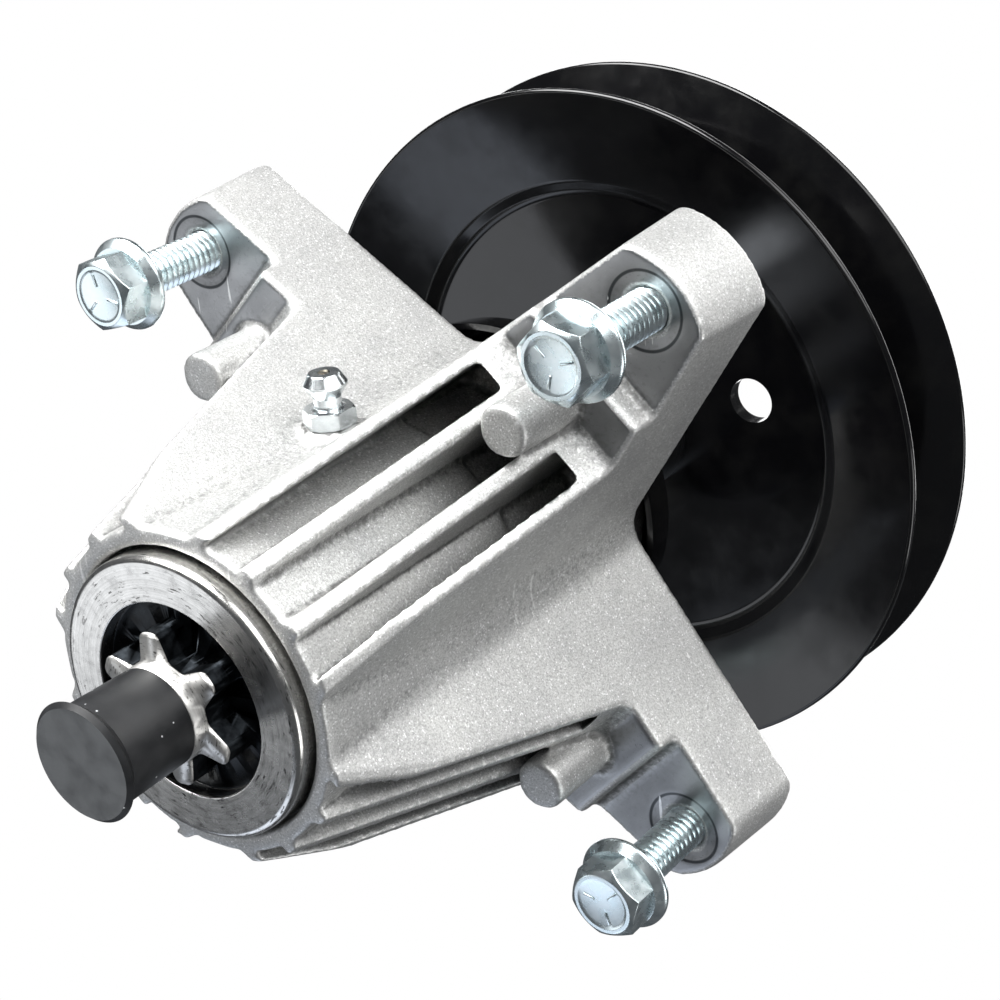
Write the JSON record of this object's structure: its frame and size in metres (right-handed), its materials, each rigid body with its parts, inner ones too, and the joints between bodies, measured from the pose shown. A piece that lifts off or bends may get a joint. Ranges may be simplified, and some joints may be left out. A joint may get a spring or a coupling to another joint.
{
  "type": "mower deck spindle",
  "caption": "Ribbed cast housing with bolt-on ears, a bearing-mounted shaft with a star blade flange below and a stamped V-belt pulley above.",
  "frame": {"origin": "on the spindle axis, in the plane of the deck pads on the undersides of the ears", "axes": "+Z along the spindle axis towards the belt pulley; the ears point between the X and Y axes, and the grease fitting points along +Y"},
  "size_m": [0.1404, 0.1404, 0.1773],
  "materials": {
    "cast_housing": "shot-blasted casting",
    "zinc_bolts": "bright zinc plate",
    "bearing_steel": "ground",
    "bearing_balls": "polished steel",
    "cage_plastic": "moulded nylon",
    "seal_rubber": "moulded rubber",
    "shaft_steel": "turned and ground, oily",
    "spacer_steel": "turned",
    "cap_vinyl": "dipped soft vinyl",
    "black_paint": "gloss",
    "nut_zinc": "zinc plate",
    "fitting_steel": "bright zinc plate",
    "check_ball_steel": "polished, with old grease",
    "spring_steel": "drawn wire"
  },
  "bodies": {
    "housing_body": {"housing": "cast_housing", "mounting_bolts": "zinc_bolts", "lower_bearing_outer_ring": "bearing_steel", "upper_bearing_outer_ring": "bearing_steel", "lower_bearing_seals": "seal_rubber", "upper_bearing_seals": "seal_rubber", "grease_fitting": "fitting_steel", "grease_fitting_spring": "spring_steel"},
    "rotor": {"shaft": "shaft_steel", "lower_bearing_inner_ring": "bearing_steel", "upper_bearing_inner_ring": "bearing_steel", "bearing_spacer": "spacer_steel", "cover_spacer": "spacer_steel", "dust_cover": "black_paint", "hub_spacer": "spacer_steel", "pulley_lower_half": "black_paint", "pulley_upper_half": "black_paint", "pulley_washer": "nut_zinc", "pulley_nut": "nut_zinc"},
    "lower_cage_set": {"lower_bearing_cage": "cage_plastic", "lower_bearing_balls": "bearing_balls"},
    "upper_cage_set": {"upper_bearing_cage": "cage_plastic", "upper_bearing_balls": "bearing_balls"},
    "cap": {"thread_cap": "cap_vinyl"},
    "check_ball": {"grease_fitting_ball": "check_ball_steel"}
  },
  "joints": [
    {"name": "shaft_spin", "type": "hinge", "parent": "housing_body", "child": "rotor", "pos_m": [0, 0, 0], "axis": [0, 0, 1], "continuous": true},
    {"name": "lower_cage_turn", "type": "hinge", "parent": "housing_body", "child": "lower_cage_set", "pos_m": [0, 0, -0.0534], "axis": [0, 0, 1], "continuous": true},
    {"name": "upper_cage_turn", "type": "hinge", "parent": "housing_body", "child": "upper_cage_set", "pos_m": [0, 0, 0.018], "axis": [0, 0, 1], "continuous": true},
    {"name": "cap_pull", "type": "slide", "parent": "rotor", "child": "cap", "axis": [0, 0, -1], "range_m": [0, 0.02]},
    {"name": "check_ball_press", "type": "slide", "parent": "housing_body", "child": "check_ball", "axis": [0, -1, 0], "range_m": [0, 0.0008], "stiffness_N_per_m": 300, "springref_m": -0.001, "deforming": ["grease_fitting_spring"]}
  ],
  "couplings": [
    {"joint": "lower_cage_turn", "follows": "shaft_spin", "ratio": 0.3969},
    {"joint": "upper_cage_turn", "follows": "shaft_spin", "ratio": 0.3969}
  ]
}
